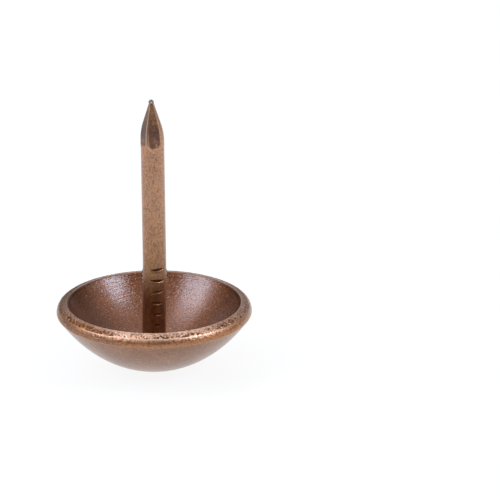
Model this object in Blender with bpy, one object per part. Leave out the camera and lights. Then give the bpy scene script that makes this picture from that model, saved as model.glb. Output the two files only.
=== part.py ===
"""Upholstery nail: a stamped domed cap with a pointed wire shank welded inside it.

Metres, +Z up. The nail stands on the crown of its cap with its point up, as it does on a bench.
The origin is the lowest point of the crown, on the nail's axis. The teeth of the gripper that held
the wire have marked its -Y and +Y sides.
"""

import math

import bmesh
import bpy

MM = 0.001

# Driving dimensions of the whole nail
HEAD_DIAMETER = 11.0 * MM
OVERALL_LENGTH = 16.0 * MM
WIRE_DIAMETER = 1.3 * MM
SHEET_THICKNESS = 0.8 * MM

# Cap: a conic dome that runs into a rounded lip with a narrow flat land
CAP_HEIGHT = 3.75 * MM
CROWN_RADIUS = 5.6 * MM
CROWN_FLAT_RADIUS = 0.6 * MM
LIP_WIDTH = 0.59 * MM
LIP_ROUND = 0.45 * MM
LIP_WRAP = math.radians(36.5)
CAP_SIDES = 72
DOME_STEPS = 11
LIP_STEPS = 7

# Weld: the collar of metal that the butt weld squeezes out round the foot of the shank
WELD_RADIUS = 1.0 * MM
WELD_HEIGHT = 0.35 * MM
WELD_STEPS = 5
WELD_SIDES = 32

# Shank: teeth marks of the wire gripper, then a four-sided point with a burr on its tip.
# The flats of the point stand askew, so its section is a rhomb, and they run out into the round wire.
TOOTH_COUNT = 7
TOOTH_PITCH = 0.67 * MM
TOOTH_DEPTH = 0.11 * MM
TOOTH_HALF_WIDTH = 0.08 * MM
TOP_TOOTH_HEIGHT = 5.98 * MM
POINT_TAPER = 0.235
POINT_EASE = 0.06 * MM
POINT_FLATS = [math.radians(way) for way in (-99, 8, 81, 188)]
POINT_STEPS = 13
BURR_RADIUS = 0.15 * MM
BURR_FOOT = math.radians(-45.0)
BURR_TOP = math.radians(65.0)
BURR_STEPS = 4
SHANK_SIDES = 32

# Clearance that keeps two welded pieces apart as separate solids
WELD_GAP = 0.02 * MM

# Antique copper plating, worn lighter on the wire and darker at the weld
CAP_COLOUR = (0.36, 0.19, 0.115, 1.0)
SHANK_COLOUR = (0.40, 0.23, 0.145, 1.0)
WELD_COLOUR = (0.16, 0.085, 0.055, 1.0)
SHARP_ANGLE = math.radians(28.0)

HEAD_RADIUS = HEAD_DIAMETER / 2
WIRE_RADIUS = WIRE_DIAMETER / 2
LIP_INNER_RADIUS = HEAD_RADIUS - LIP_WIDTH
LIP_CENTRE_RADIUS = HEAD_RADIUS - LIP_ROUND
LIP_CENTRE_HEIGHT = CAP_HEIGHT - LIP_ROUND
POINT_LENGTH = (WIRE_RADIUS + POINT_EASE) / POINT_TAPER


def conic_height(radius, crown_radius, conic):
    """Height of a conic dome above its own crown, at this distance from its axis."""
    slope = radius / crown_radius
    return radius * slope / (1 + math.sqrt(1 - (1 + conic) * slope**2))


def conic_through(crown_radius, radius, height):
    """Conic constant of the dome with this crown radius that passes through a point of its flank."""
    slope = radius / crown_radius
    root = radius * slope / height - 1
    return (1 - root**2) / slope**2 - 1


def steps(first, last, count):
    """Evenly spaced values from first to last, both included."""
    return [first + (last - first) * i / count for i in range(count + 1)]


# The outer dome runs into the rounded lip, and the inner dome ends at the lip's inner edge.
JOIN_RADIUS = LIP_CENTRE_RADIUS + LIP_ROUND * math.cos(LIP_WRAP)
JOIN_HEIGHT = LIP_CENTRE_HEIGHT - LIP_ROUND * math.sin(LIP_WRAP)
OUTER_CONIC = conic_through(CROWN_RADIUS, JOIN_RADIUS, JOIN_HEIGHT)
INNER_CROWN_RADIUS = CROWN_RADIUS - SHEET_THICKNESS
INNER_CONIC = conic_through(INNER_CROWN_RADIUS, LIP_INNER_RADIUS, CAP_HEIGHT - SHEET_THICKNESS)


def inner_height(radius):
    """Height of the inside of the cap at this distance from the axis."""
    return SHEET_THICKNESS + conic_height(radius, INNER_CROWN_RADIUS, INNER_CONIC)


# The weld flattens the inside of the crown, and the shank and its collar stand on that flat.
WELD_SPOT_RADIUS = WELD_RADIUS + 2 * WELD_GAP
SEAT_HEIGHT = inner_height(WELD_SPOT_RADIUS)


def metal(name, colour, roughness):
    material = bpy.data.materials.new(name)
    material.use_nodes = True
    shader = material.node_tree.nodes["Principled BSDF"]
    shader.inputs["Base Color"].default_value = colour
    shader.inputs["Metallic"].default_value = 1.0
    shader.inputs["Roughness"].default_value = roughness
    material.diffuse_color = colour
    return material


def add_piece(name, bm, material, parent, height=0.0):
    """Makes a mesh object of bm at this height on the nail's axis."""
    bmesh.ops.recalc_face_normals(bm, faces=bm.faces)
    mesh = bpy.data.meshes.new(name)
    bm.to_mesh(mesh)
    bm.free()
    mesh.materials.append(material)
    mesh.shade_smooth()
    mesh.set_sharp_from_angle(angle=SHARP_ANGLE)
    piece = bpy.data.objects.new(name, mesh)
    bpy.context.scene.collection.objects.link(piece)
    piece.parent = parent
    piece.location.z = height
    return piece


def turned(profile, sides, closed):
    """A mesh turned about Z from a profile of (radius, height) points."""
    merge_distance = 0.0001 * MM
    bm = bmesh.new()
    verts = [bm.verts.new((radius, 0.0, height)) for radius, height in profile]
    pairs = list(zip(verts, verts[1:]))
    if closed:
        pairs.append((verts[-1], verts[0]))
    edges = [bm.edges.new(pair) for pair in pairs]
    bmesh.ops.spin(
        bm,
        geom=verts + edges,
        cent=(0.0, 0.0, 0.0),
        axis=(0.0, 0.0, 1.0),
        angle=2 * math.pi,
        steps=sides,
        use_merge=True,
    )
    bmesh.ops.remove_doubles(bm, verts=bm.verts, dist=merge_distance)
    return bm


def cap_profile():
    """From the crown up the outside of the dome, over the lip, and down the inside to the weld spot."""
    outside = [(0.0, 0.0), (CROWN_FLAT_RADIUS, 0.0)]
    for radius in steps(2 * CROWN_FLAT_RADIUS, JOIN_RADIUS, DOME_STEPS):
        outside.append((radius, conic_height(radius, CROWN_RADIUS, OUTER_CONIC)))
    lip = []
    for angle in steps(-LIP_WRAP, math.pi / 2, LIP_STEPS)[1:]:
        radius = LIP_CENTRE_RADIUS + LIP_ROUND * math.cos(angle)
        lip.append((radius, LIP_CENTRE_HEIGHT + LIP_ROUND * math.sin(angle)))
    inside = []
    for radius in steps(LIP_INNER_RADIUS, WELD_SPOT_RADIUS, DOME_STEPS):
        inside.append((radius, inner_height(radius)))
    return outside + lip + inside + [(0.0, SEAT_HEIGHT)]


def weld_profile():
    """The collar's section: flat below and inside, with a hollow fillet from the wire to the cap."""
    bore = WIRE_RADIUS + WELD_GAP
    reach = WELD_RADIUS - bore
    fillet = []
    for angle in steps(0.0, math.pi / 2, WELD_STEPS):
        fillet.append((WELD_RADIUS - reach * math.sin(angle), WELD_HEIGHT * (1 - math.cos(angle))))
    toe = 0.1 * WELD_HEIGHT
    return [(bore, 0.0), (WELD_RADIUS, 0.0)] + [(radius, height + toe) for radius, height in fillet]


def tooth_heights():
    """Heights of the gripper's teeth marks above the crown, from the lowest up."""
    return [TOP_TOOTH_HEIGHT - TOOTH_PITCH * i for i in reversed(range(TOOTH_COUNT))]


def facet_distance(below_tip):
    """Distance from the axis to the point's four flats, this far below the tip."""
    taper = POINT_TAPER * below_tip
    ease = max(1 - abs(taper - WIRE_RADIUS) / POINT_EASE, 0.0)
    return min(taper, WIRE_RADIUS) - POINT_EASE * ease**2 / 4


def wire_ring(height, flats):
    """The round wire at this height, cut back to flats of (direction, distance from the axis)."""
    ring = []
    for i in range(SHANK_SIDES):
        angle = 2 * math.pi * i / SHANK_SIDES
        radius = WIRE_RADIUS
        for direction, distance in flats:
            facing = math.cos(angle - direction)
            if facing * radius > distance:
                radius = distance / facing
        ring.append((radius * math.cos(angle), radius * math.sin(angle), height))
    return ring


def shank_rings(foot):
    """Rings of the shank from its foot to its tip, as heights above the crown."""
    front_and_back = (-math.pi / 2, math.pi / 2)
    rings = [wire_ring(foot, [])]
    for tooth in tooth_heights():
        rings.append(wire_ring(tooth - TOOTH_HALF_WIDTH, []))
        rings.append(wire_ring(tooth, [(side, WIRE_RADIUS - TOOTH_DEPTH) for side in front_and_back]))
        rings.append(wire_ring(tooth + TOOTH_HALF_WIDTH, []))
    for below_tip in steps(POINT_LENGTH, 2 * BURR_RADIUS, POINT_STEPS):
        flats = [(way, facet_distance(below_tip)) for way in POINT_FLATS]
        rings.append(wire_ring(OVERALL_LENGTH - below_tip, flats))
    every_way = [2 * math.pi * i / SHANK_SIDES for i in range(SHANK_SIDES)]
    for angle in steps(BURR_FOOT, BURR_TOP, BURR_STEPS):
        height = OVERALL_LENGTH - BURR_RADIUS * (math.sin(BURR_TOP) - math.sin(angle))
        rings.append(wire_ring(height, [(way, BURR_RADIUS * math.cos(angle)) for way in every_way]))
    return rings


def lofted(rings):
    """A closed mesh through rings of points, each joined to the next and both ends filled."""
    bm = bmesh.new()
    loops = []
    for ring in rings:
        verts = [bm.verts.new(point) for point in ring]
        loops.append([bm.edges.new(pair) for pair in zip(verts, verts[1:] + verts[:1])])
    for lower, upper in zip(loops, loops[1:]):
        bmesh.ops.bridge_loops(bm, edges=lower + upper)
    for end in (loops[0], loops[-1]):
        bmesh.ops.contextual_create(bm, geom=end)
    return bm


def add_cap(nail):
    bm = turned(cap_profile(), CAP_SIDES, closed=False)
    return add_piece("domed_cap", bm, metal("plated_cap", CAP_COLOUR, 0.38), nail)


def add_weld(nail):
    bm = turned(weld_profile(), WELD_SIDES, closed=True)
    material = metal("weld_scale", WELD_COLOUR, 0.6)
    return add_piece("weld_collar", bm, material, nail, SEAT_HEIGHT + WELD_GAP)


def add_shank(nail):
    foot = SEAT_HEIGHT + WELD_GAP
    rings = [[(x, y, height - foot) for x, y, height in ring] for ring in shank_rings(foot)]
    return add_piece("wire_shank", lofted(rings), metal("plated_wire", SHANK_COLOUR, 0.45), nail, foot)


def main():
    for old in list(bpy.data.objects):
        bpy.data.objects.remove(old, do_unlink=True)
    nail = bpy.data.objects.new("nail", None)
    bpy.context.scene.collection.objects.link(nail)
    add_cap(nail)
    add_weld(nail)
    add_shank(nail)


main()
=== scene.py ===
# %% [markdown]
# # An upholstery nail in antique copper
#
# A decorative nail for leather and webbing. Three pieces make it: a domed cap stamped from sheet
# steel, a wire shank that is welded into the hollow of the cap, and the little collar of metal
# that the weld squeezes out. The whole nail is then plated with copper, darkened, tumbled until
# everything that stands out is rubbed bright again, and lacquered.
#
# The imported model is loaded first. It is a fixed frame in metres: the nail stands on its crown at
# the origin with its point up, and every piece below is made in that frame, where the frame's own
# solid is.

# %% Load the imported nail
import math

import bmesh
import bpy
from mathutils import Matrix, Vector


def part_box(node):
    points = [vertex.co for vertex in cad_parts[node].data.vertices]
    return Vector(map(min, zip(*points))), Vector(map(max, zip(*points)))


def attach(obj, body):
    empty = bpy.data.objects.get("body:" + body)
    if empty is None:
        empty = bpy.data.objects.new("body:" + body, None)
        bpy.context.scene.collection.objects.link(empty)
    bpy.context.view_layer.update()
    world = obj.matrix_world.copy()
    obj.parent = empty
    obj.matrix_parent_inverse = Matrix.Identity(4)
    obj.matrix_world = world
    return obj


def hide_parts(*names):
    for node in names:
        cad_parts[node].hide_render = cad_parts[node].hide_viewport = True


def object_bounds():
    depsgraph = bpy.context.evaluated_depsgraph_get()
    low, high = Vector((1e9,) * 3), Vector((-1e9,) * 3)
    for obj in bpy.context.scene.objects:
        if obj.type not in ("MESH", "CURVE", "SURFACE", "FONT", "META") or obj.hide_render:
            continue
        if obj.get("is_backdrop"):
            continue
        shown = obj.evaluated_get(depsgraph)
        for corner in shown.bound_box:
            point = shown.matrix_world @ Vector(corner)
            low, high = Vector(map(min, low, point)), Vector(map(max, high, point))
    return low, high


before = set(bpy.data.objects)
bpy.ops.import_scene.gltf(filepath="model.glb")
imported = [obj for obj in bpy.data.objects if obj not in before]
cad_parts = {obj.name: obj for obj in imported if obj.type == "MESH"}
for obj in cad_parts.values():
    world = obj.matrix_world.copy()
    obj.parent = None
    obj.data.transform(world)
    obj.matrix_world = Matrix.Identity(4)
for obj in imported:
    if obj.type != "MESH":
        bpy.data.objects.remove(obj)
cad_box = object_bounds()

MM = 0.001
scene = bpy.context.scene
link = scene.collection.objects.link
for node in sorted(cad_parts):
    low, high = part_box(node)
    print(node, "from", [round(v / MM, 3) for v in low], "to", [round(v / MM, 3) for v in high], "mm")

# %% [markdown]
# ## The camera
#
# The nail was seen from 20 degrees above the table with a long lens, so near and far sides of the
# rim have nearly the same scale. A camera can be turned by hand until it looks right, but here it
# is worked out: the place of the crown in a picture of 500 by 500 points and the scale in points
# per millimetre say where the middle of the picture lies, and the camera looks at that place. The
# nail leans a little to the left in the picture, so the camera is rolled by that angle.

# %% Place the camera
PICTURE = 500
POINTS_PER_MM = 17.71
CROWN_IN_PICTURE = (154.95, 365.0)
CAMERA_AZIMUTH = -13.0
CAMERA_ELEVATION = 20.5
CAMERA_ROLL = 0.41
CAMERA_DISTANCE = 0.4
SENSOR_WIDTH = 36.0


def direction(azimuth, elevation):
    """Unit vector at an azimuth, counted from -Y towards +X, and an elevation, both in degrees."""
    a, e = math.radians(azimuth), math.radians(elevation)
    return Vector((math.sin(a) * math.cos(e), -math.cos(a) * math.cos(e), math.sin(e)))


back = direction(CAMERA_AZIMUTH, CAMERA_ELEVATION)
upright = back.to_track_quat("Z", "Y").to_matrix()
turned = upright @ Matrix.Rotation(-math.radians(CAMERA_ROLL), 3, "Z")
to_middle = Vector((PICTURE / 2 - CROWN_IN_PICTURE[0], CROWN_IN_PICTURE[1] - PICTURE / 2, 0.0))
aim = turned @ (to_middle * MM / POINTS_PER_MM)

camera = bpy.data.objects.new("camera", bpy.data.cameras.new("camera"))
camera.data.sensor_width = SENSOR_WIDTH
camera.data.lens = SENSOR_WIDTH * CAMERA_DISTANCE * POINTS_PER_MM / (PICTURE * MM)
camera.data.clip_start = 0.01
camera.matrix_world = Matrix.Translation(aim + back * CAMERA_DISTANCE) @ turned.to_4x4()
link(camera)
scene.camera = camera
print("a lens of", round(camera.data.lens), "mm at", CAMERA_DISTANCE, "m")

# %% Where the nail lies in the picture
def in_picture(point):
    """Where a point of the nail lies in the picture, in points from its upper left corner."""
    seen = camera.matrix_world.inverted() @ Vector(point)
    scale = camera.data.lens / SENSOR_WIDTH * PICTURE / -seen.z
    return round(PICTURE / 2 + seen.x * scale, 1), round(PICTURE / 2 - seen.y * scale, 1)


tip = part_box("wire_shank")[1].z
print("crown at", in_picture((0, 0, 0)), "and tip at", in_picture((0, 0, tip)))

# %% [markdown]
# ## Helpers
#
# Materials and Geometry Nodes are both trees of nodes, and one small function can add a node to
# either: it sets the node's own settings, and gives each input a plain value or a link. The kinds
# of node that come up most get a short name, and a word in capitals, such as MULTIPLY, is the
# operation of a Math node. A MIX takes a share and two colours. A RANGE takes a value, the ends
# between which it is read, and the ends that it is turned into, which are 0 and 1 unless given.
#
# Colours are written as the sRGB hex values that a paint chart or a colour picker gives. Blender's
# nodes work in linear light, so one function turns a hex value into that.

# %% Helpers for colours and nodes
VECTOR, RANGE, MIX = "ShaderNodeVectorMath", "ShaderNodeMapRange", "ShaderNodeMix"
PLACE, NOISE, BUMP = "ShaderNodeTexCoord", "ShaderNodeTexNoise", "ShaderNodeBump"
SPLIT, JOIN = "ShaderNodeSeparateXYZ", "ShaderNodeCombineXYZ"
READ, STORE = "GeometryNodeInputNamedAttribute", "GeometryNodeStoreNamedAttribute"


def colour(code):
    """Linear red, green, blue and alpha of an sRGB hex colour such as #B87333."""
    channels = [int(code[i:i + 2], 16) / 255 for i in (1, 3, 5)]
    return (*(c / 12.92 if c <= 0.04045 else ((c + 0.055) / 1.055) ** 2.4 for c in channels), 1.0)


def add(tree, kind, inputs=(), **settings):
    """Adds a node. Its inputs, by name or in order, get a value, a socket or a node's first output."""
    if kind.isupper():
        kind, settings["operation"] = "ShaderNodeMath", kind
    if kind == MIX:
        settings["data_type"] = "RGBA"
    node = tree.nodes.new(kind)
    for name, value in settings.items():
        setattr(node, name, value)
    sockets = [s for s in node.inputs if s.enabled]
    if isinstance(inputs, dict):
        sockets = [next(s for s in sockets if s.name == name) for name in inputs]
        inputs = inputs.values()
    for socket, value in zip(sockets, inputs):
        if isinstance(value, bpy.types.Node):
            value = next(s for s in value.outputs if s.enabled)
        if isinstance(value, bpy.types.NodeSocket):
            tree.links.new(value, socket)
        else:
            socket.default_value = value
    return node


def new_finish(name):
    """A new material and its tree, with nothing in the tree yet."""
    finish = bpy.data.materials.new(name)
    finish.use_nodes = True
    finish.node_tree.nodes.clear()
    return finish, finish.node_tree


print("bright copper #B87333 is", [round(c, 3) for c in colour("#B87333")], "in linear light")

# %% [markdown]
# ## The table and the light
#
# The nail stands on white paper. A big round lamp on each side does most of the lighting, with
# dimmer ones beside and above it, a weak one overhead, low cards at the sides and a high one behind.
# Metal shows what is round it, so the room matters as much as the lamps: the shank mirrors the
# paper, the hollow of the cap mirrors the room, and only where a lamp is mirrored does the copper
# glow. The room is brown below and white at the ceiling, and dimmer on the viewer's side, where
# nothing is lit. A picture of a real room could be wrapped round the scene, but a few round lamps
# and two colours are easier to understand and to change.
#
# The paper has to look white without more light on the nail. For the camera, and for what is seen
# in the metal, it is mixed with a plain white glow. The rest of it is ordinary paper, which takes
# the nail's shadow. Its underside lets the view through, so the crown can be seen from below.

# %% White paper
PAPER_RADIUS = 0.6
PAPER_SIDES = 96
PAPER_GLOW = 0.9

paper_finish, tree = new_finish("white_drawing_paper")
rays = add(tree, "ShaderNodeLightPath").outputs
seen = rays["Is Camera Ray"]
for kind in ("Is Glossy Ray", "Is Transmission Ray"):
    seen = add(tree, "MAXIMUM", (seen, rays[kind]))
glow_share = add(tree, "MULTIPLY", (seen, PAPER_GLOW))
matt = add(tree, "ShaderNodeBsdfDiffuse", {"Color": colour("#F7F7F7")})
glow = add(tree, "ShaderNodeEmission", {"Color": colour("#FFFFFF"), "Strength": 1.0})
upper_side = add(tree, "ShaderNodeMixShader", (glow_share, matt, glow))
under_side = add(tree, "ShaderNodeBsdfTransparent")
backfacing = add(tree, "ShaderNodeNewGeometry").outputs["Backfacing"]
sheet = add(tree, "ShaderNodeMixShader", (backfacing, upper_side, under_side))
add(tree, "ShaderNodeOutputMaterial", (sheet,))

paper = bpy.data.objects.new("paper", bpy.data.meshes.new("paper"))
corners = [direction(360 * i / PAPER_SIDES, 0) * PAPER_RADIUS for i in range(PAPER_SIDES)]
paper.data.from_pydata(corners, [], [range(PAPER_SIDES)])
paper.data.materials.append(paper_finish)
link(paper)
paper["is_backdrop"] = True
print("paper of", PAPER_RADIUS, "m radius under the crown")

# %% The room
ROOM_LOW, ROOM_HIGH = "#645349", "#FFFFFF"
DIM_SIDE = 0.45

world = bpy.data.worlds.new("room_with_a_white_ceiling")
scene.world = world
world.use_nodes = True
tree = world.node_tree
tree.nodes.clear()
look = add(tree, PLACE).outputs["Generated"]
height = add(tree, SPLIT, (look,)).outputs["Z"]
rise = add(tree, RANGE, (height, 0.22, 0.95))
room = add(tree, MIX, (rise, colour(ROOM_LOW), colour(ROOM_HIGH)))
facing = add(tree, VECTOR, (look, direction(CAMERA_AZIMUTH, 0)), operation="DOT_PRODUCT")
dim = add(tree, RANGE, (facing, -0.1, 0.6, 1.0, DIM_SIDE))
light = add(tree, "ShaderNodeBackground", {"Color": room, "Strength": dim})
add(tree, "ShaderNodeOutputWorld", (light,))
scene.view_settings.view_transform = "Standard"
print(world.name, "has", len(tree.nodes), "nodes")

# %% The lamps
# Each lamp has a name, degrees from the camera's side, degrees up, a size across and a distance in
# metres, and a brightness, which says how white its face looks in a mirror.
LAMP_COLOUR = "#DCE8FF"
LAMPS = (
    ("right_lamp", 66, 38.5, 0.135, 0.3, 11.3),
    ("right_high", 82, 55, 0.158, 0.3, 0.8),
    ("left_lamp", -70, 39, 0.192, 0.3, 6.3),
    ("left_halo", -93, 36, 0.13, 0.3, 1.5),
    ("left_high", -98, 57, 0.18, 0.3, 2.6),
    ("top_lamp", 0, 58, 0.158, 0.3, 0.4),
    ("right_card", 85, 14, 0.18, 0.3, 1.4),
    ("left_card", -85, 14, 0.18, 0.3, 0.8),
    ("far_card", 152, 8, 0.11, 0.3, 0.35),
    ("back_card", 180, 45, 0.226, 0.35, 2.0),
)

for name, azimuth, elevation, size, distance, brightness in LAMPS:
    lamp = bpy.data.lights.new(name, "AREA")
    lamp.shape = "DISK"
    lamp.size = size
    lamp.color = colour(LAMP_COLOUR)[:3]
    lamp.energy = brightness * math.pi * (math.pi * size ** 2 / 4)
    towards = direction(azimuth + CAMERA_AZIMUTH, elevation)
    turn = towards.to_track_quat("Z", "Y").to_matrix().to_4x4()
    holder = bpy.data.objects.new(name, lamp)
    holder.matrix_world = Matrix.Translation(towards * distance) @ turn
    holder.visible_camera = False
    link(holder)
    print(name, "at", azimuth, "degrees from the camera,", elevation, "up:", round(lamp.energy, 3), "W")

# %% [markdown]
# ## The cap: its section
#
# The cap is a round of sheet steel pressed into a die. Its shape follows a rule: one section,
# turned about the nail's axis. The outside is a conic dome that runs into a rounded lip, the lip
# ends in a narrow land that slopes up to the inner edge, and the inside is a second conic, one
# sheet thickness further in. The sheet and the crown are those of the imported solid. The lip is
# walked in finer bends, and its inner edge ends about 0.1 mm higher than the solid's flat land.
#
# Each point of the section also carries marks that say how much it belongs to the hollow and to the
# lip, how pitted and how rubbed it is, and how much painted shade it takes under the edge and down
# the hollow. The rubbing is banded as a painted highlight too. The materials and the pits use them
# later, as attributes of the mesh.

# %% Section of the cap
HEAD_RADIUS = 5.5 * MM
CAP_HEIGHT = 3.846 * MM
SHEET_THICKNESS = 0.8 * MM
CROWN_RADIUS = 5.6 * MM
LIP_WIDTH = 0.63 * MM
LIP_INNER_RADIUS = HEAD_RADIUS - LIP_WIDTH


def conic_height(radius, crown_radius, conic):
    """Height of a conic dome above its own crown, at this distance from its axis."""
    slope = radius / crown_radius
    return radius * slope / (1 + math.sqrt(1 - (1 + conic) * slope ** 2))


def conic_through(crown_radius, radius, height):
    """Conic constant of the dome with this crown radius that passes through a point of its flank."""
    slope = radius / crown_radius
    root = radius * slope / height - 1
    return (1 - root ** 2) / slope ** 2 - 1


def steps(first, last, count):
    """Evenly spaced values from first to last, both included."""
    return [first + (last - first) * i / count for i in range(count + 1)]


def fade(value, start, end):
    """0 at start and before it, 1 at end and after it, with a soft passage between."""
    t = min(max((value - start) / (end - start), 0.0), 1.0)
    return t * t * (3 - 2 * t)


INNER_CROWN_RADIUS = CROWN_RADIUS - SHEET_THICKNESS
INNER_CONIC = conic_through(INNER_CROWN_RADIUS, LIP_INNER_RADIUS, CAP_HEIGHT - SHEET_THICKNESS)


def inner_height(radius):
    """Height of the inside of the cap at this distance from the axis."""
    return SHEET_THICKNESS + conic_height(radius, INNER_CROWN_RADIUS, INNER_CONIC)


print("the bowl is", round((CAP_HEIGHT - SHEET_THICKNESS) / MM, 3), "mm deep")

# %% [markdown]
# The lip is a chain of bends. The way the sheet faces, in degrees above straight out, starts below
# the rim, turns a little further down, comes round to the front and ends almost straight up. Each
# bend has its own radius. The chain is walked from a start at nought and then moved as a whole, so
# that its widest point is the head's radius and the land reaches the height of the cap.

# %% Walk round the lip
# Each bend: the facing at its start and at its end, and its radius.
LIP_BENDS = ((-37, -55, 0.1 * MM), (-55, 2, 0.2 * MM), (2, 32, 0.6 * MM), (32, 80, 0.46 * MM))
BEND_STEPS = 12
LAND_SLOPE = math.radians(13)

walk = [(0.0, 0.0, LIP_BENDS[0][0])]
for start, end, bend in LIP_BENDS:
    facings = steps(start, end, BEND_STEPS)
    for before, after in zip(facings, facings[1:]):
        radius, height, _ = walk[-1]
        facing = math.radians((before + after) / 2)
        pace = bend * math.radians(abs(after - before))
        walk.append((radius - pace * math.sin(facing), height + pace * math.cos(facing), after))
outward = HEAD_RADIUS - max(radius for radius, *_ in walk)
land_start = walk[-1][0] + outward
land_rise = (land_start - LIP_INNER_RADIUS) * math.tan(LAND_SLOPE)
upward = CAP_HEIGHT - land_rise - walk[-1][1]
lip = [(radius + outward, height + upward, facing) for radius, height, facing in walk]
JOIN_RADIUS, JOIN_HEIGHT, _ = lip[0]
OUTER_CONIC = conic_through(CROWN_RADIUS, JOIN_RADIUS, JOIN_HEIGHT)
print("the dome meets the lip at", round(JOIN_RADIUS / MM, 3), "mm radius,",
      round(JOIN_HEIGHT / MM, 3), "mm up")

# %% The dome and the lip
MARKS = ("hollow", "pitted", "rubbed", "lip", "crease")
DOME_STEPS = 36


def section_point(radius, height, **marks):
    """One point of a section. A mark that isn't given is 0."""
    return radius, height, {mark: marks.get(mark, 0.0) for mark in MARKS}


section = []
for radius in steps(0.0, JOIN_RADIUS, DOME_STEPS):
    section.append(section_point(radius, conic_height(radius, CROWN_RADIUS, OUTER_CONIC)))
for radius, height, facing in lip[1:]:
    # Rubbed copper, banded by facing as a painted highlight: bright on the shoulder, a dull line
    # after it, and bright again on the land beyond.
    rubbed = (0.03 + 0.78 * fade(facing, 13, 34) - 0.22 * fade(facing, 40, 48)
              + 0.2 * fade(facing, 62, 70))
    # Most pits are on the ledge inside the shoulder, and a few just outside it.
    ledge = fade(facing, 38, 46) * (0.6 + 0.4 * fade(facing, 74, 64))
    brow = 0.35 * fade(facing, 8, 14) * fade(facing, 32, 24)
    band = fade(facing, -56, -30) * (0.8 + 0.2 * fade(facing, 62, 44))
    # Painted shade starts on the upper lip, towards the land.
    section.append(section_point(radius, height, pitted=ledge + brow, rubbed=rubbed, lip=band,
                                 crease=0.3 * fade(facing, 60, 72)))
print("dome and lip:", len(section), "points")

# %% The land, its edge and the bowl
LAND_STEPS, EDGE_STEPS, WALL_STEPS, BOWL_STEPS = 6, 8, 6, 40
# The land takes rubbed copper that is partly a painted highlight, and painted shade.
LAND_RUBBED_AND_HIGHLIGHT, LAND_BAND, LAND_PAINTED_SHADE = 0.79, 0.8, 0.3
EDGE_EASE = 0.075 * MM
WALL_DEPTH = 0.2 * MM

for share in steps(0.0, 1.0, LAND_STEPS)[1:-1]:
    radius = land_start + (LIP_INNER_RADIUS + EDGE_EASE - land_start) * share
    height = CAP_HEIGHT - (radius - LIP_INNER_RADIUS) * math.tan(LAND_SLOPE)
    section.append(section_point(radius, height, pitted=0.5 - 0.3 * share, rubbed=LAND_RUBBED_AND_HIGHLIGHT,
                                 lip=LAND_BAND, crease=LAND_PAINTED_SHADE))
edge_foot = LIP_INNER_RADIUS - EDGE_EASE
for share in steps(0.0, 1.0, EDGE_STEPS):
    # A parabola eases the edge between the land and the wall of the bowl.
    radius = LIP_INNER_RADIUS + EDGE_EASE * (1 - share) ** 2 - EDGE_EASE * share ** 2
    height = CAP_HEIGHT - EDGE_EASE * math.tan(LAND_SLOPE) * (1 - share) ** 2
    height += (inner_height(edge_foot) - CAP_HEIGHT) * share ** 2
    # Down the edge the painted shade deepens and the rubbed copper fades.
    section.append(section_point(
        radius, height, hollow=fade(share, 0.4, 0.8), pitted=0.2 * fade(share, 0.4, 0.0),
        rubbed=LAND_RUBBED_AND_HIGHLIGHT * fade(share, 0.45, 0.15), lip=LAND_BAND * fade(share, 0.55, 0.2),
        crease=LAND_PAINTED_SHADE + 0.35 * fade(share, 0.4, 0.6)))
wall_foot = edge_foot - WALL_DEPTH
for radius in steps(edge_foot, wall_foot, WALL_STEPS)[1:] + steps(wall_foot, 0.0, BOWL_STEPS)[1:]:
    # Painted shade lies dark under the edge and thins out within a millimetre.
    inward = edge_foot - radius
    crease = 0.5 * fade(inward, 0.06 * MM, 0.0) + 0.15 * fade(inward, 0.9 * MM, 0.05 * MM)
    section.append(section_point(radius, inner_height(radius), hollow=1.0, crease=crease))
print("whole section:", len(section), "points")

# %% [markdown]
# ## The cap: a lathe of nodes
#
# A section turned about an axis is what a lathe does, and Blender has a Screw modifier and a Spin
# tool for it. Geometry Nodes are used here because the same tree then also carries the marks along
# and dents the metal, and because another section can be put in it: the weld collar uses it too. A
# flat grid gets one row for each point of the section and one column for each side. Each point of
# the grid looks up its section point by its row, and is swung round the axis by its column. The
# seam and the poles are then merged.

# %% Start and end of a tree of Geometry Nodes
def new_tree(name, inputs):
    """A new Geometry Nodes tree, the identifiers of its named inputs, and their sockets in it."""
    tree = bpy.data.node_groups.new(name, "GeometryNodeTree")
    socket = tree.interface.new_socket
    identifiers = {
        key: socket(key, in_out="INPUT", socket_type="NodeSocket" + kind).identifier
        for kind, keys in inputs.items() for key in keys}
    socket("Piece", in_out="OUTPUT", socket_type="NodeSocketGeometry")
    return tree, identifiers, add(tree, "NodeGroupInput").outputs


def end_tree(tree, piece, finish):
    """The last steps of a tree: smooth shading, real geometry and its material."""
    piece = add(tree, "GeometryNodeSetShadeSmooth", {"Geometry": piece})
    piece = add(tree, "GeometryNodeRealizeInstances", {"Geometry": piece})
    piece = add(tree, "GeometryNodeSetMaterial", {"Geometry": piece, "Material": finish})
    add(tree, "NodeGroupOutput", {"Piece": piece})
    print(tree.name, "has", len(tree.nodes), "nodes")


# %% The lathe tree: turn the section
SEAM = 0.0001 * MM

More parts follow.
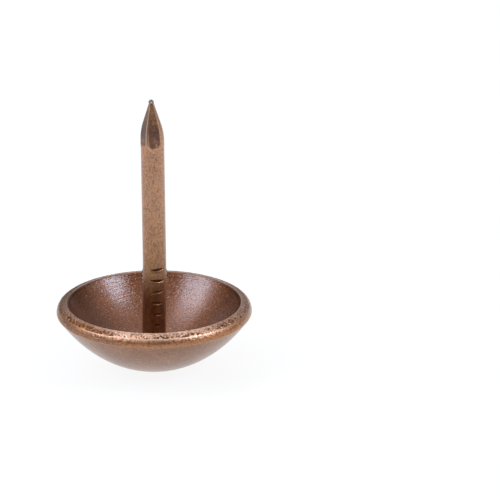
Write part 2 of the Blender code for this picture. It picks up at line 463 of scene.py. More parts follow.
lathe, lathe_inputs, given = new_tree("lathe", {
    "Geometry": ["Section"], "Int": ["Sides"], "Vector": ["Pit Side"], "Material": ["Finish"],
    "Float": ["Radius", "Pit Size", "Pit Stretch", "Pit Depth", "Pit Share", "Seed"]})
position = add(lathe, "GeometryNodeInputPosition")
rows = add(lathe, "GeometryNodeAttributeDomainSize", {"Geometry": given["Section"]})
columns = add(lathe, "ADD", (given["Sides"], 1.0))
grid = add(lathe, "GeometryNodeMeshGrid", {"Vertices X": rows, "Vertices Y": columns})
index = add(lathe, "GeometryNodeInputIndex")
row = add(lathe, "DIVIDE", (index, columns))
row = add(lathe, "FLOOR", (row,))
column = add(lathe, "MODULO", (index, columns))
swing = add(lathe, "DIVIDE", (column, given["Sides"]))
swing = add(lathe, "MULTIPLY", (swing, -2 * math.pi))
place = add(lathe, "GeometryNodeSampleIndex", {
    "Geometry": given["Section"], "Value": position, "Index": row}, data_type="FLOAT_VECTOR")
swung = add(lathe, "ShaderNodeVectorRotate", {"Vector": place, "Angle": swing}, rotation_type="Z_AXIS")
piece = add(lathe, "GeometryNodeSetPosition", {"Geometry": grid, "Position": swung})
for name in ("along", *MARKS):
    mark = add(lathe, READ, {"Name": name})
    mark = add(lathe, "GeometryNodeSampleIndex", {
        "Geometry": given["Section"], "Value": mark, "Index": row})
    piece = add(lathe, STORE, {"Geometry": piece, "Name": name, "Value": mark})
piece = add(lathe, "GeometryNodeMergeByDistance", {"Geometry": piece, "Distance": SEAM})
print("lathe so far:", len(lathe.nodes), "nodes, inputs", list(lathe_inputs))

# %% [markdown]
# Noise with a fixed seed then pushes pits into the metal wherever the mark "pitted" allows it. The
# noise is laid on a ring of the piece's radius, with the way along the section as its height, so
# the pits keep their size on every slope. A second, wider noise gathers them in clusters, and the
# side away from the "Pit Side" gets shallower ones. How deep each point lies in a pit is kept as an
# attribute too, because the material darkens there.

# %% The lathe tree: pit the metal
CLUSTER_SCALE = 0.12
CLUSTERING = 0.36
HIGHEST_BRINK, BRINK_FALL = 0.65, 0.3
PIT_WALL = 0.16
FAR_PITS = 0.3

at = add(lathe, SPLIT, (position,)).outputs
outward = add(lathe, JOIN, {"X": at["X"], "Y": at["Y"]})
outward = add(lathe, VECTOR, (outward,), operation="NORMALIZE")
around = add(lathe, VECTOR, (outward, given["Radius"]), operation="SCALE")
along = add(lathe, "DIVIDE", (add(lathe, READ, {"Name": "along"}), given["Pit Stretch"]))
around = add(lathe, VECTOR, (around, add(lathe, JOIN, {"Z": along})), operation="ADD")
fine = add(lathe, "DIVIDE", (1.0, given["Pit Size"]))
wide = add(lathe, "MULTIPLY", (fine, CLUSTER_SCALE))
grain, cluster = (
    add(lathe, NOISE, {"Vector": around, "Scale": scale, "W": given["Seed"], "Detail": detail},
        noise_dimensions="4D")
    for scale, detail in ((fine, 3.0), (wide, 1.0)))
grain = add(lathe, "MULTIPLY_ADD", (cluster, CLUSTERING, grain))
grain = add(lathe, "SUBTRACT", (grain, CLUSTERING / 2))
brink = add(lathe, "MULTIPLY_ADD", (given["Pit Share"], -BRINK_FALL, HIGHEST_BRINK))
floor = add(lathe, "ADD", (brink, PIT_WALL))
pit = add(lathe, RANGE, (grain, brink, floor), interpolation_type="SMOOTHSTEP")
near = add(lathe, VECTOR, (outward, given["Pit Side"]), operation="DOT_PRODUCT")
near = add(lathe, RANGE, (near, 0.0, 0.6, FAR_PITS))
for share in (add(lathe, READ, {"Name": "pitted"}), near):
    pit = add(lathe, "MULTIPLY", (pit, share))
piece = add(lathe, STORE, {"Geometry": piece, "Name": "pit", "Value": pit})
push = pit
for share in (given["Pit Depth"], -1.0):
    push = add(lathe, "MULTIPLY", (push, share))
push = add(lathe, VECTOR, (add(lathe, "GeometryNodeInputNormal"), push), operation="SCALE")
piece = add(lathe, "GeometryNodeSetPosition", {"Geometry": piece, "Offset": push})
end_tree(lathe, piece, given["Finish"])

# %% Run a tree and keep a plain mesh
DOUBLES = 0.00001 * MM


def run_tree(name, mesh, tree, identifiers, values):
    """Runs a tree over a mesh and keeps the outcome as a plain, closed, outward-facing mesh."""
    blank = bpy.data.objects.new(name + "_blank", mesh)
    link(blank)
    modifier = blank.modifiers.new(tree.name, "NODES")
    modifier.node_group = tree
    for key, value in values.items():
        modifier[identifiers[key]] = value
    graph = bpy.context.evaluated_depsgraph_get()
    made = bpy.data.meshes.new_from_object(blank.evaluated_get(graph), preserve_all_data_layers=True,
                                           depsgraph=graph)
    bpy.data.objects.remove(blank)
    shape = bmesh.new()
    shape.from_mesh(made)
    bmesh.ops.remove_doubles(shape, verts=shape.verts, dist=DOUBLES)
    bmesh.ops.recalc_face_normals(shape, faces=shape.faces)
    open_edges = sum(not edge.is_manifold for edge in shape.edges)
    volume = shape.calc_volume(signed=True)
    shape.to_mesh(made)
    shape.free()
    made.name = name
    finished = bpy.data.objects.new(name, made)
    link(finished)
    triangles = sum(len(face.vertices) - 2 for face in made.polygons)
    print(name, "has", triangles, "triangles,", open_edges, "open edges and",
          round(volume / MM ** 3, 2), "mm3")
    return finished


def section_mesh(name, points):
    """A mesh of bare points in the XZ plane, each with its marks and its way along the section."""
    mesh = bpy.data.meshes.new(name)
    mesh.from_pydata([(radius, 0.0, height) for radius, height, _ in points], [], [])
    way = [0.0]
    for before, after in zip(points, points[1:]):
        way.append(way[-1] + math.dist(before[:2], after[:2]))
    columns = {"along": way, **{mark: [marks[mark] for *_, marks in points] for mark in MARKS}}
    for key, values in columns.items():
        mesh.attributes.new(key, "FLOAT", "POINT").data.foreach_set("value", values)
    return mesh


# %% [markdown]
# ## The finish of the cap
#
# Copper plate is only a few thousandths of a millimetre thick, so it follows the grain of the
# rolled steel below it. The dark antiquing stays in that grain and in the hollow of the cap, and
# the tumbling takes it off the outside again. To the eye this is a satin brown metal with a fine
# salt-and-pepper mottle on the outside, a darker and bumpier skin inside, and bright bare copper
# along the lip, whose bands and brightness are partly a painted highlight.
#
# It could be painted by hand on an unwrapped mesh. Noise in the object's own millimetres needs no
# unwrapping and never shows a seam, and the marks from the section say where each skin is. The
# grain is drawn coarser than on a real nail, so that it still shows in a picture of the whole nail.
#
# First come the skins, each between a dark and a light colour by the mottle: the outside, the
# inside, and for the lip a dull one, a coppery one that is painted on towards the camera as
# painted light, and a pale one that is a painted reflection of the white paper at the outer right.

# %% Antique copper plate on stamped steel: the skins
MOTTLE, CLOUD, PEEL, PATCH = 0.12 * MM, 1.6 * MM, 0.14 * MM, 0.45 * MM
SKINS = {
    "outside": ("#7C543B", "#9E7154"),
    "inside": ("#582D15", "#7E461B"),
    "coppery": ("#946342", "#BE865C"),
    "lip": ("#705545", "#94735F"),
    "pale": ("#B0907E", "#DCBBA8"),
}

cap_finish, tree = new_finish("antique_copper_plate_on_stamped_steel")
where = add(tree, PLACE).outputs["Object"]
place = add(tree, SPLIT, (where,)).outputs
along, hollow, pitted, rubbed, lip_band, crease, pit = (
    add(tree, "ShaderNodeAttribute", attribute_name=name).outputs["Fac"]
    for name in ("along", *MARKS, "pit"))
mottle, cloud, peel, patch = (
    add(tree, NOISE, {"Vector": where, "Scale": 1 / size, "Detail": 3.0, "Roughness": roughness})
    for size, roughness in ((MOTTLE, 0.65), (CLOUD, 0.5), (PEEL, 0.5), (PATCH, 0.5)))
worn = add(tree, RANGE, (mottle, 0.33, 0.67))
clouded = add(tree, RANGE, (cloud, 0.38, 0.62, 0.0, 0.4))
speck = add(tree, RANGE, (peel, 0.6, 0.74))
skins = {
    name: add(tree, MIX, (worn, colour(dark), colour(light)))
    for name, (dark, light) in SKINS.items()}
print(cap_finish.name, "has", len(skins), "skins")

# %% [markdown]
# The lip is painted differently on each side, as painted light. Towards the camera it is painted
# coppery, and its rubbed copper brighter and warmer. Behind, it is duller, its rubbed land is
# painted paler and greyer as a painted reflection, and most of the painted shade under the edge is
# left out. At the outer right it is painted pale, a painted reflection of the white paper. On the
# left a little brown antiquing has pooled on the ledge and kept the metal there from being rubbed.

# %% The sides of the lip
# The side towards the camera: the pits are deeper there, and the lip is painted brighter.
WORN_AND_BRIGHTENED_SIDE = (-0.225, -0.974, 0.0)
POOLED_SIDE = (-0.829, -0.559, 0.0)

lean, pool = (
    add(tree, VECTOR, (where, side), operation="DOT_PRODUCT") for side in (WORN_AND_BRIGHTENED_SIDE, POOLED_SIDE))
# How far each point lies to the outer right, behind, towards the camera and to the left; these shares
# place the painted light on the lip and the pooled antiquing.
paper_reflection, far_side, copper_side, front_side, pool_side = (
    add(tree, RANGE, (value, start * HEAD_RADIUS, end * HEAD_RADIUS))
    for value, start, end in ((place["X"], 0.5, 0.85), (lean, -0.3, -0.75), (lean, -0.1, 0.6),
                              (lean, 0.52, 0.96), (pool, 0.86, 0.95)))
# The outer right of the lip gets a painted reflection of the white paper, kept off the painted shade.
outer = add(tree, "MULTIPLY_ADD", (crease, -2.0, 1.15), use_clamp=True)
paper_reflection = add(tree, "MULTIPLY", (paper_reflection, outer))
# Behind, most of the painted shade is left out.
less_shade_behind = add(tree, "MULTIPLY_ADD", (far_side, -0.75, 1.0))
crease = add(tree, "MULTIPLY", (crease, less_shade_behind))
reddened = add(tree, "MULTIPLY_ADD", (pool_side, -0.45, copper_side), use_clamp=True)

# Rubbed copper shows most towards the camera and more behind than at the sides: painted light.
front = add(tree, RANGE, (front_side, 0.0, 1.0, 0.12))
front = add(tree, "MULTIPLY_ADD", (far_side, 0.4, front))
saved = add(tree, "MULTIPLY_ADD", (pool_side, -0.7, 1.0))
bald_and_highlight = rubbed
for share in (front, saved):
    bald_and_highlight = add(tree, "MULTIPLY", (bald_and_highlight, share))
bare_and_highlight = add(tree, RANGE, (mottle, 0.25, 0.6))
bare_and_highlight = add(tree, "MULTIPLY", (bare_and_highlight, bald_and_highlight))
pooled = add(tree, "MULTIPLY_ADD", (pool_side, 0.55, patch))
pooled = add(tree, RANGE, (pooled, 0.8, 1.0))
ledge = add(tree, RANGE, (pitted, 0.36, 0.55))
pooled = add(tree, "MULTIPLY", (pooled, ledge))
sunk = add(tree, RANGE, (pit, 0.0, 0.75))
print("sides of the lip:", len(tree.nodes), "nodes so far")

# %% Lay the skins over one another
for name, share, over in (
        ("outside", clouded, colour("#6F4A33")), ("inside", speck, colour("#965A34")),
        ("lip", paper_reflection, skins["pale"]), ("lip", reddened, skins["coppery"])):
    skins[name] = add(tree, MIX, (share, skins[name], over))
# Rubbed copper is painted warmer and brighter towards the camera and greyer behind: a painted highlight
# in front, a painted reflection behind.
bright = add(tree, MIX, (front_side, colour("#C4A895"), colour("#F2C8AC")))
skin = skins["outside"]
# Over the skins: painted shade in dark brown, rubbed copper that is partly a painted highlight, pooled
# antiquing and dark pits.
for share, over in (
        (hollow, skins["inside"]), (lip_band, skins["lip"]), (crease, colour("#30170C")),
        (bare_and_highlight, bright), (pooled, colour("#80491B")), (sunk, colour("#5A3A26"))):
    skin = add(tree, MIX, (share, skin, over))
print("skins of the cap laid:", len(tree.nodes), "nodes so far")

# %% [markdown]
# The grain and the orange peel of the hollow also catch light, so they are bumps as well, and the
# hollow has faint rings from the punch. A hard clear lacquer goes over everything. It has set thick
# on the wall of the hollow, which gives the glossy highlights there, and thinner in its depth, in
# the pits, where the metal is rubbed, under the painted shade, on the pooled antiquing and on the
# lip band towards the camera.

# %% Gloss of the cap
PUNCH_RINGS = 0.06 * MM
RING_STRETCH = 0.4 * MM
LACQUER_IOR = 1.6

satin = add(tree, RANGE, (mottle, 0.3, 0.7, 0.42, 0.32))
for share, dullness in ((hollow, 0.2), (lip_band, 0.12)):
    satin = add(tree, "MULTIPLY_ADD", (share, dullness, satin))

outward = add(tree, VECTOR, (where, (1.0, 1.0, 0.0)), operation="MULTIPLY")
outward = add(tree, VECTOR, (outward,), operation="NORMALIZE")
rings = add(tree, VECTOR, (outward, (RING_STRETCH, RING_STRETCH, 0.0), add(tree, JOIN, {"X": along})),
            operation="MULTIPLY_ADD")
rings = add(tree, NOISE, {"Vector": rings, "Scale": 1 / PUNCH_RINGS, "Detail": 2.0})
bumps = add(tree, "MULTIPLY_ADD", (speck, 0.7, peel))
bumps = add(tree, "MULTIPLY_ADD", (rings, 1.5, bumps))
bumps = add(tree, "MULTIPLY", (bumps, hollow))
relief = add(tree, BUMP, {"Height": mottle, "Strength": 0.25, "Distance": 0.005 * MM})
relief = add(tree, BUMP, {
    "Height": bumps, "Strength": 0.7, "Distance": 0.014 * MM, "Normal": relief})

lacquer = add(tree, RANGE, (hollow, 0.0, 1.0, 0.5))
deep = add(tree, RANGE, (place["Z"], 2.6 * MM, 1.4 * MM))
deep = add(tree, "MULTIPLY", (deep, hollow))
lacquer = add(tree, "MULTIPLY_ADD", (deep, -0.3, lacquer))
thin = bald_and_highlight
lit_lip_band = add(tree, "MULTIPLY", (copper_side, lip_band))
for other in (crease, pooled, lit_lip_band):
    thin = add(tree, "MAXIMUM", (thin, other))
for share, loss in ((pit, 0.8), (thin, 0.7)):
    kept = add(tree, "MULTIPLY_ADD", (share, -loss, 1.0))
    lacquer = add(tree, "MULTIPLY", (lacquer, kept))
shader = add(tree, "ShaderNodeBsdfPrincipled", {
    "Base Color": skin, "Metallic": 1.0, "Roughness": satin, "Normal": relief,
    "Coat Weight": lacquer, "Coat Roughness": 0.18, "Coat IOR": LACQUER_IOR, "Coat Normal": relief})
add(tree, "ShaderNodeOutputMaterial", (shader,))
print(cap_finish.name, "has", len(tree.nodes), "nodes")

# %% Turn the cap
stamped_cap = run_tree("stamped_cap", section_mesh("cap_section", section), lathe, lathe_inputs, {
    "Sides": 640, "Radius": HEAD_RADIUS, "Pit Size": 0.11 * MM, "Pit Stretch": 1.2,
    "Pit Depth": 0.05 * MM, "Pit Share": 0.68, "Pit Side": WORN_AND_BRIGHTENED_SIDE, "Seed": 4.0,
    "Finish": cap_finish})
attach(stamped_cap, "root")
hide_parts("domed_cap")

# %% [markdown]
# ## The shank: a drawn and pinched wire
#
# The shank is a length of drawn wire. A nail machine holds it between two toothed jaws, which
# leave a row of marks near its foot and squeeze a little flash out where they part. Then it
# pinches the wire off with four shallow flats that stand askew and run up to the point. Ridges are
# left between the flats, rubbed bare and painted bright, partly as a painted highlight; a scar is
# left where they run out, and a thin curl of metal on the tip.
#
# The blank is lofted in code, ring by ring, because the flats cut each ring differently. The marks
# repeat, so Geometry Nodes press them in afterwards.

# %% The round wire and its taper
WIRE_RADIUS = 0.66 * MM
BULGE = 0.012
TIP_RADIUS = 0.033 * MM
POINT_TAPER = 0.319
POINT_EASE = 0.16 * MM
PARTINGS = (-10, 170)
FLASH_HEIGHTS = [height * MM for height in (5.72, 5.5, 5.25, 5.0)]
FLASH_OUT, FLASH_HALF_HEIGHT, FLASH_HALF_TURN = 0.045 * MM, 0.07 * MM, 7


def turn_from(way, angle):
    """Degrees from a direction to an angle, between -180 and 180."""
    return (math.degrees(angle) - way + 180) % 360 - 180


def round_radius(angle, height):
    """Radius of the wire before the flats: a cylinder that bulges a little, then tapers to the tip."""
    below = tip - height
    widest = WIRE_RADIUS * (1 + BULGE * fade(below, 3.2 * MM, 2.6 * MM))
    taper = TIP_RADIUS + POINT_TAPER * below
    ease = max(1 - abs(taper - widest) / POINT_EASE, 0.0)
    radius = min(taper, widest) - POINT_EASE * ease ** 2 / 4
    squeezed = sum(math.exp(-((height - spot) / FLASH_HALF_HEIGHT) ** 2) for spot in FLASH_HEIGHTS)
    for parting in PARTINGS:
        radius += FLASH_OUT * squeezed * math.exp(-(turn_from(parting, angle) / FLASH_HALF_TURN) ** 2)
    return radius


print("the taper starts", round((WIRE_RADIUS - TIP_RADIUS) / POINT_TAPER / MM, 2), "mm below the tip")

# %% The flats of the point
FLATS = [math.radians(way) for way in (-89.5, 14, 90.5, 194)]
FLAT_DEPTH = 0.15
FLAT_END = (2.92 * MM, 2.5 * MM)
RIDGE_WAY = -124.5
RIDGE_WIDTH = 0.012 * MM
SCAR_BELOW, SCAR_SLOPE = 2.72 * MM, 0.012 * MM
SCAR_WIDTH, SCAR_HEIGHT = 0.03 * MM, 0.014 * MM


def wire_point(angle, height):
    """Radius of the blank here, how stained it is, and how pale it is painted on a ridge or the scar; on
    the ridges that is partly a painted highlight.
    """
    below = tip - height
    full = round_radius(angle, height)
    ragged = 0.06 * MM * math.sin(4 * angle + 1) + 0.03 * MM * math.sin(11 * angle)
    flat = full * (1 - FLAT_DEPTH * fade(below + ragged, *FLAT_END))
    nearest = min(flat / max(math.cos(angle - way), 0.05) for way in FLATS)
    # The ridge left of the front flat is painted bright, most of all low down, partly as a painted
    # highlight. Beside it the metal is smeared.
    on_point = fade(below, *FLAT_END)
    turn = turn_from(RIDGE_WAY, angle)
    ridge_wear_and_highlight = math.exp(-((nearest - full) / RIDGE_WIDTH) ** 2) * on_point
    ridge_wear_and_highlight *= 0.4 + 0.6 * fade(turn, -16, -12) * fade(turn, -4, -8) * fade(below, 0.9 * MM, 1.5 * MM)
    ridge_wear_and_highlight *= 1 - 0.85 * fade(turn, -5, 1) * fade(turn, 20, 12)
    scar = math.exp(-((below - SCAR_BELOW - SCAR_SLOPE * turn) / SCAR_WIDTH) ** 2)
    scar *= fade(turn, -6, 0) * fade(turn, 32, 24)
    # The flats are stained, less near the tip and where they run out.
    grime = 0.5 * fade(turn, -9, -6) * fade(turn, 6, 1) * on_point
    stain = max(fade(1 - nearest / full, 0.0, 0.05), grime)
    stain *= 0.6 + 0.4 * fade(below, 0.9 * MM, 2.0 * MM)
    stain *= 1 - 0.7 * fade(below + 2 * ragged, 2.3 * MM, 2.85 * MM)
    return min(nearest, full) + SCAR_HEIGHT * scar, stain, max(ridge_wear_and_highlight, scar)


print("the front flat is", round(wire_point(FLATS[0], tip - 1.5 * MM)[0] / MM, 3),
      "mm from the axis, 1.5 mm below the tip")

# %% Loft the blank
SHANK_SIDES = 160
TIP_ASIDE = 0.024 * MM
FOOT_BEND, BEND_TOP = 0.0236, 6.2 * MM
TIP_CROWN = 0.02 * MM

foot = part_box("wire_shank")[0].z
point_top = tip - 0.26 * MM
heights = [foot]
for end, count in ((1.7 * MM, 4), (6.3 * MM, 230), (12.6 * MM, 26), (point_top, 140)):
    heights += steps(heights[-1], end, count)[1:]

points, faces, stains, edges = [], [], [], []
for height in heights:
    aside = -TIP_ASIDE * fade(tip - height, 2.8 * MM, 0.9 * MM) - FOOT_BEND * max(BEND_TOP - height, 0.0)
    for i in range(SHANK_SIDES):
        angle = 2 * math.pi * i / SHANK_SIDES
        radius, stain, edge = wire_point(angle, height)
        points.append((radius * math.cos(angle) + aside, radius * math.sin(angle), height))
        stains.append(stain)
        edges.append(edge)
for first in range(0, len(points) - SHANK_SIDES, SHANK_SIDES):
    for i in range(SHANK_SIDES):
        a, b = first + i, first + (i + 1) % SHANK_SIDES
        faces.append((a, b, b + SHANK_SIDES, a + SHANK_SIDES))
top_ring = len(points) - SHANK_SIDES
for centre_height, first in ((foot, 0), (point_top + TIP_CROWN, top_ring)):
    for i in range(SHANK_SIDES):
        a, b = first + i, first + (i + 1) % SHANK_SIDES
        faces.append((len(points), a, b) if first else (len(points), b, a))
    points.append((0.0, 0.0, centre_height))
    stains.append(0.0)
    edges.append(0.0)
blank_mesh = bpy.data.meshes.new("shank_blank")
blank_mesh.from_pydata(points, [], faces)
for name, values in (("stain", stains), ("edge", edges)):
    blank_mesh.attributes.new(name, "FLOAT", "POINT").data.foreach_set("value", values)
print("blank of", len(heights), "rings, from", round(foot / MM, 3), "to", round(tip / MM, 3), "mm")

# %% [markdown]
# ## The gripper's marks
#
# Each tooth of the jaws leaves a short straight notch across the wire, with the metal it pushed
# away standing up as a small lip below it. A tooth is never quite like its neighbour, so each mark
# has its own height, tilt, depth and slant, and the marks get shallower towards the foot. Booleans
# with a row of wedges would cut them as well, but they leave long thin faces. Here every point of
# the blank asks which mark is nearest to it, and is pressed back to the bottom of that mark's notch.

# %% The gripper tree: find the nearest mark
BACK_JAW = 50.0  # the teeth of the back jaw are counted from here, so that they draw differently

jaws, jaws_inputs, given = new_tree("gripper_marks", {
    "Geometry": ["Wire"], "Int": ["Count", "Seed"], "Vector": ["Lean"], "Material": ["Finish"],
    "Float": ["Top", "Pitch", "Depth", "Half Width", "Radius", "Tilt", "Curl Height", "Curl Radius",
              "Curl Wire"]})
at = add(jaws, SPLIT, (add(jaws, "GeometryNodeInputPosition"),)).outputs
down = add(jaws, "SUBTRACT", (given["Top"], at["Z"]))
mark = add(jaws, "DIVIDE", (down, given["Pitch"]))
mark = add(jaws, "ROUND", (mark,))
last = add(jaws, "SUBTRACT", (given["Count"], 1.0))
mark = add(jaws, "MINIMUM", (mark, last))
mark = add(jaws, "MAXIMUM", (mark, 0.0))
behind = add(jaws, "GREATER_THAN", (at["Y"], 0.0))
tooth = add(jaws, "MULTIPLY_ADD", (behind, BACK_JAW, mark))
draws = {}
for number, name in enumerate(("lift", "tilt", "depth", "place")):
    seed = add(jaws, "ADD", (given["Seed"], float(number)))
    draws[name] = add(jaws, "FunctionNodeRandomValue", {
        "Min": -1.0, "Max": 1.0, "ID": tooth, "Seed": seed}, data_type="FLOAT")
print("each tooth draws its", ", ".join(draws))

# %% The gripper tree: press the notches
LIFT, DEPTH_SPREAD = 0.35, 0.3
SHALLOWER = 0.16
SLANT, SLANT_SPREAD = -0.08, 0.07
BURR_BELOW, BURR_REACH, BURR_HEIGHT = 1.55, 0.6, 0.06

lift = draws["lift"]
for share in (given["Half Width"], LIFT):
    lift = add(jaws, "MULTIPLY", (lift, share))
centre = add(jaws, "MULTIPLY", (mark, given["Pitch"]))
away = down
for part in (centre, lift):
    away = add(jaws, "SUBTRACT", (away, part))
slope = add(jaws, "MULTIPLY", (draws["tilt"], given["Tilt"]))
away = add(jaws, "MULTIPLY_ADD", (slope, at["X"], away))
near = add(jaws, "ABSOLUTE", (away,))
near = add(jaws, "DIVIDE", (near, given["Half Width"]))
cut = add(jaws, RANGE, (near, 1.0, 0.0))
bite = add(jaws, "MULTIPLY_ADD", (mark, -SHALLOWER, 1.1), use_clamp=True)
deep = add(jaws, "MULTIPLY_ADD", (draws["depth"], DEPTH_SPREAD, 1.0))
for share in (bite, given["Depth"], cut):
    deep = add(jaws, "MULTIPLY", (deep, share))
reach = add(jaws, "SUBTRACT", (given["Radius"], deep))
slant = add(jaws, "MULTIPLY_ADD", (draws["place"], SLANT_SPREAD, SLANT))
reach = add(jaws, "MULTIPLY_ADD", (slant, at["X"], reach))
out = add(jaws, "ABSOLUTE", (at["Y"],))
pressed = add(jaws, "MINIMUM", (out, reach))

below = add(jaws, "DIVIDE", (away, given["Half Width"]))
below = add(jaws, "SUBTRACT", (below, BURR_BELOW))
below = add(jaws, "ABSOLUTE", (below,))
face = add(jaws, "DIVIDE", (out, given["Radius"]))
burr, face = (
    add(jaws, RANGE, (value, start, end), interpolation_type="SMOOTHSTEP")
    for value, start, end in ((below, BURR_REACH, 0.0), (face, 0.78, 0.9)))
burr = add(jaws, "MULTIPLY", (burr, face))
raised = given["Depth"]
for share in (BURR_HEIGHT, bite):
    raised = add(jaws, "MULTIPLY", (raised, share))
pressed = add(jaws, "MULTIPLY_ADD", (burr, raised, pressed))
way = add(jaws, "SIGN", (at["Y"],))
pressed = add(jaws, "MULTIPLY", (pressed, way))
print("notches:", len(jaws.nodes), "nodes so far")

# %% [markdown]
# Antiquing cakes in each notch, so the bottom of a notch is kept as the attribute "residue". The
# shank was welded in with a slight lean, which is added to every point. The curl on the tip is an
# open ring of bent wire with a thin web of steel inside it, bare because it tore off last; the web
# is painted pale as a highlight.

# %% The gripper tree: lean the shank and curl its tip
CURL_START, CURL_SWEEP = math.radians(-70), math.radians(320)
CURL_TURN = (math.radians(90), 0.0, math.radians(-18))
WEB_FLATNESS = 0.3
CURL_X, CURL_Y = -0.05 * MM, -0.09 * MM

bottom = add(jaws, "GREATER_THAN", (out, reach))
residue = add(jaws, RANGE, (cut, 0.0, 0.45))
residue = add(jaws, "MULTIPLY", (residue, bottom))
wire = add(jaws, STORE, {"Geometry": given["Wire"], "Name": "residue", "Value": residue})
short = add(jaws, "SUBTRACT", (given["Curl Height"], at["Z"]))
aside = add(jaws, VECTOR, (given["Lean"], short), operation="SCALE")
place = add(jaws, JOIN, {"X": at["X"], "Y": pressed, "Z": at["Z"]})
wire = add(jaws, "GeometryNodeSetPosition", {"Geometry": wire, "Position": place, "Offset": aside})

curl = add(jaws, "GeometryNodeCurveArc", {
    "Resolution": 40, "Radius": given["Curl Radius"], "Start Angle": CURL_START,
    "Sweep Angle": CURL_SWEEP}, mode="RADIUS")
rim = add(jaws, "GeometryNodeCurvePrimitiveCircle", {
    "Resolution": 16, "Radius": given["Curl Wire"]}, mode="RADIUS")
curl = add(jaws, "GeometryNodeCurveToMesh", {"Curve": curl, "Profile Curve": rim, "Fill Caps": True})
web = add(jaws, "GeometryNodeMeshUVSphere", {
    "Segments": 20, "Rings": 8, "Radius": given["Curl Radius"]})
web = add(jaws, "GeometryNodeTransform", {"Geometry": web, "Scale": (1.0, 1.0, WEB_FLATNESS)})
# The web takes the pale colour of the ridges, a painted highlight, and a little of the grey steel.
for name, value in (("steel", 0.3), ("edge", 1.0)):
    web = add(jaws, STORE, {"Geometry": web, "Name": name, "Value": value})
curl = add(jaws, STORE, {"Geometry": curl, "Name": "steel", "Value": 1.0})
whole_curl, piece = (add(jaws, "GeometryNodeJoinGeometry") for _ in range(2))
for part in (curl, web):
    jaws.links.new(part.outputs[0], whole_curl.inputs[0])
spot = add(jaws, JOIN, {"X": CURL_X, "Y": CURL_Y, "Z": given["Curl Height"]})
curl = add(jaws, "GeometryNodeTransform", {
    "Geometry": whole_curl, "Translation": spot, "Rotation": CURL_TURN})
for part in (wire, curl):
    jaws.links.new(part.outputs[0], piece.inputs[0])
end_tree(jaws, piece, given["Finish"])

# %% [markdown]
# ## The finish of the wire
#
# Drawing pulls the wire through a die, which leaves faint lengthwise lines, and the plating and
# tumbling are the same as on the cap. The wire is thin and stands free in the tumbler, so it is
# rubbed lighter than the cap, with dark specks where the rubbing missed. Further down, towards the
# cap, it is blotched a darker golden brown. To the eye it is a pale, speckled satin rod.
# The speckle is drawn coarser than on a real nail, so that it still shows in a picture.

# %% Antique copper plate on drawn wire: the rod
MOTTLE, CLOUD, BLOTCH = 0.09 * MM, 0.6 * MM, 0.25 * MM
ALONG_WIRE = (1.0, 1.0, 0.7)
CLOUD_SHARE = 0.2

wire_finish, tree = new_finish("antique_copper_plate_on_drawn_wire")
where = add(tree, PLACE).outputs["Object"]
place = add(tree, SPLIT, (where,)).outputs
stain, edge, residue, steel = (
    add(tree, "ShaderNodeAttribute", attribute_name=name).outputs["Fac"]
    for name in ("stain", "edge", "residue", "steel"))
lengthwise = add(tree, "ShaderNodeMapping", {"Vector": where, "Scale": ALONG_WIRE})
mottle, cloud, blotch = (
    add(tree, NOISE, {"Vector": lengthwise, "Scale": 1 / size, "Detail": detail, "Roughness": roughness})
    for size, detail, roughness in ((MOTTLE, 4.0, 0.65), (CLOUD, 2.0, 0.5), (BLOTCH, 4.0, 0.5)))
rod, cloudy, golden = (
    add(tree, MIX, (add(tree, RANGE, (noise, start, end)), colour(dark), colour(light)))
    for noise, start, end, dark, light in (
        (mottle, 0.38, 0.62, "#8A6048", "#C29676"), (cloud, 0.42, 0.58, "#8A6B58", "#B68058"),
        (blotch, 0.4, 0.62, "#603C16", "#946422")))
speck = add(tree, RANGE, (mottle, 0.62, 0.68, 0.0, 0.8))
# Towards the cap the rod turns a darker golden brown.
towards_cap = add(tree, RANGE, (place["Z"], 10 * MM, 4 * MM, 0.0, 0.65))
for share, over in ((CLOUD_SHARE, cloudy), (speck, colour("#5E4436")), (towards_cap, golden)):
    rod = add(tree, MIX, (share, rod, over))
print(wire_finish.name, "has", len(tree.nodes), "nodes so far")

# %% [markdown]
# The flats of the point are fresh cuts that took the dark antiquing well and kept it: even and grey
# on the left, crumbly and rusty elsewhere, and more coppery near the tip. The ridges between them
# are rubbed bare and painted pale, partly as a painted highlight, the notches are caked and darker
# the lower they lie, and the curl is grey steel.

# %% Antique copper plate on drawn wire: the point and the notches
CRUMBS, BLOT = 0.16 * MM, 0.5 * MM
RIDGE_WEAR_AND_HIGHLIGHT_SHARE = 0.8

# The caked notches are darker the lower they lie.
upper, left, lower_in_cap = (
    add(tree, RANGE, (value, start, end))
    for value, start, end in (
        (place["Z"], tip - 1.9 * MM, tip - 1.3 * MM), (place["X"], -0.1 * MM, -0.3 * MM),
        (place["Z"], 5.0 * MM, 3.9 * MM)))
grey, rusty, cake = (
    add(tree, MIX, (share, colour(first), colour(second)))
    for share, first, second in (
        (upper, "#5F443A", "#5E4C3A"), (upper, "#7E5542", "#B07A4C"), (lower_in_cap, "#74492C", "#452A15")))
crumbs = add(tree, NOISE, {"Vector": where, "Scale": 1 / CRUMBS, "Detail": 4.0})
crumbs = add(tree, RANGE, (crumbs, 0.4, 0.6))
elsewhere = add(tree, "SUBTRACT", (1.0, left))
crumbs = add(tree, "MULTIPLY", (crumbs, elsewhere))
tarnish = add(tree, MIX, (crumbs, grey, rusty))
blot = add(tree, NOISE, {"Vector": where, "Scale": 1 / BLOT, "Detail": 3.0})
blot = add(tree, "MULTIPLY_ADD", (stain, 0.7, blot))
blot = add(tree, RANGE, (blot, 0.65, 0.95))
blot = add(tree, "MAXIMUM", (blot, left))
stained = add(tree, "MULTIPLY", (blot, stain))
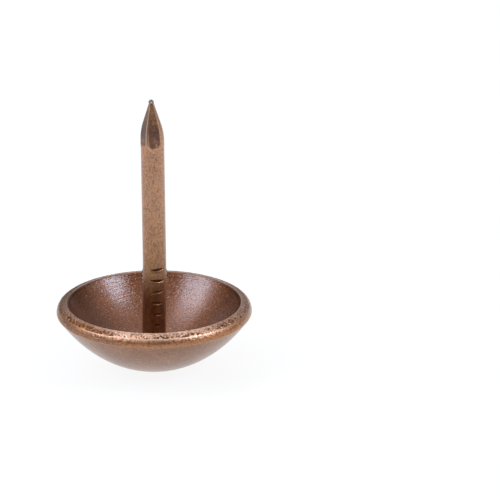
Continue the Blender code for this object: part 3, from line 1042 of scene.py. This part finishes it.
# Ridges, the scar and the web are painted pale; on the ridges and the web this is partly a painted
# highlight.
ridge_wear_and_highlight = add(tree, "MULTIPLY", (edge, RIDGE_WEAR_AND_HIGHLIGHT_SHARE))
for share, over in (
        (stained, tarnish), (ridge_wear_and_highlight, colour("#DDBBA4")), (residue, cake), (steel, colour("#857A76"))):
    rod = add(tree, MIX, (share, rod, over))
print(wire_finish.name, "has", len(tree.nodes), "nodes so far")

# %% Gloss of the wire
DRAWN_LINES = 0.05 * MM
LINE_STRETCH = (1.0, 1.0, 0.08)

satin = add(tree, RANGE, (mottle, 0.3, 0.7, 0.42, 0.3))
satin = add(tree, "MULTIPLY_ADD", (stain, 0.15, satin))
lines = add(tree, "ShaderNodeMapping", {"Vector": where, "Scale": LINE_STRETCH})
lines = add(tree, NOISE, {"Vector": lines, "Scale": 1 / DRAWN_LINES, "Detail": 2.0})
relief = add(tree, BUMP, {"Height": mottle, "Strength": 0.3, "Distance": 0.006 * MM})
relief = add(tree, BUMP, {"Height": lines, "Strength": 0.2, "Distance": 0.006 * MM, "Normal": relief})
dull = add(tree, "MAXIMUM", (stain, residue))
lacquer = add(tree, RANGE, (dull, 0.0, 1.0, 0.6, 0.45))
clear = add(tree, "MULTIPLY_ADD", (residue, -0.6, 1.0))
lacquer = add(tree, "MULTIPLY", (lacquer, clear))
shader = add(tree, "ShaderNodeBsdfPrincipled", {
    "Base Color": rod, "Metallic": 1.0, "Roughness": satin, "Normal": relief,
    "Coat Weight": lacquer, "Coat Roughness": 0.3})
add(tree, "ShaderNodeOutputMaterial", (shader,))
print(wire_finish.name, "has", len(tree.nodes), "nodes")

# %% Press the marks into the wire
WELDED_LEAN = (0.0047, -0.0011, 0.0)  # how far aside the shank goes on its way down from the tip
drawn_wire = run_tree("drawn_wire", blank_mesh, jaws, jaws_inputs, {
    "Top": 5.98 * MM, "Pitch": 0.67 * MM, "Count": 7, "Depth": 0.118 * MM, "Half Width": 0.08 * MM,
    "Radius": WIRE_RADIUS, "Tilt": 0.14, "Seed": 3, "Lean": WELDED_LEAN,
    "Curl Height": tip - 0.24 * MM, "Curl Radius": 0.105 * MM, "Curl Wire": 0.05 * MM,
    "Finish": wire_finish})
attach(drawn_wire, "root")
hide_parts("wire_shank")

# %% [markdown]
# ## The weld collar
#
# The end of the wire is pressed into the hollow of the cap while a current melts both. The metal
# that this squeezes out sets as a lumpy collar, rough and dark from the heat: to the eye a matt,
# crusty brown ring. Its section goes into the same lathe as the cap's, with a few deep dents
# instead of many small pits.

# %% Scaled weld metal
CRUST = 0.15 * MM

weld_finish, tree = new_finish("scaled_weld_metal")
where = add(tree, PLACE).outputs["Object"]
crust = add(tree, NOISE, {"Vector": where, "Scale": 1 / CRUST, "Detail": 4.0})
burnt = add(tree, RANGE, (crust, 0.35, 0.65))
scale = add(tree, MIX, (burnt, colour("#3E2A22"), colour("#7C5646")))
rough = add(tree, RANGE, (crust, 0.0, 1.0, 0.45, 0.7))
relief = add(tree, BUMP, {"Height": crust, "Strength": 0.5, "Distance": 0.02 * MM})
shader = add(tree, "ShaderNodeBsdfPrincipled", {
    "Base Color": scale, "Metallic": 1.0, "Roughness": rough, "Normal": relief})
add(tree, "ShaderNodeOutputMaterial", (shader,))
print(weld_finish.name, "has", len(tree.nodes), "nodes")

# %% Turn the collar
COLLAR_BORE = WIRE_RADIUS - 0.1 * MM
COLLAR_STEPS = 14
TOE = 0.1

collar_low, collar_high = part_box("weld_collar")
reach = collar_high.x - COLLAR_BORE
rise = collar_high.z - collar_low.z
collar = [(COLLAR_BORE, collar_low.z), (collar_high.x, collar_low.z)]
for angle in steps(0.0, math.pi / 2, COLLAR_STEPS):
    climbed = TOE + (1 - TOE) * (1 - math.cos(angle))
    collar.append((collar_high.x - reach * math.sin(angle), collar_low.z + rise * climbed))
collar.append(collar[0])
collar = [section_point(radius, height, pitted=1.0) for radius, height in collar]
weld_bead = run_tree("weld_bead", section_mesh("collar_section", collar), lathe, lathe_inputs, {
    "Sides": 160, "Radius": collar_high.x, "Pit Size": 0.4 * MM, "Pit Stretch": 1.0,
    "Pit Depth": 0.08 * MM, "Pit Share": 0.8, "Pit Side": WORN_AND_BRIGHTENED_SIDE, "Seed": 9.0,
    "Finish": weld_finish})
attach(weld_bead, "root")
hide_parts("weld_collar")

# %% [markdown]
# ## Size and finish
#
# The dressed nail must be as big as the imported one. Both boxes are written down for comparison.

# %% Compare the boxes
visual_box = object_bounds()
for name, (low, high) in (("packed", cad_box), ("dressed", visual_box)):
    print(name, [round((h - l) / MM, 3) for l, h in zip(low, high)], "mm")
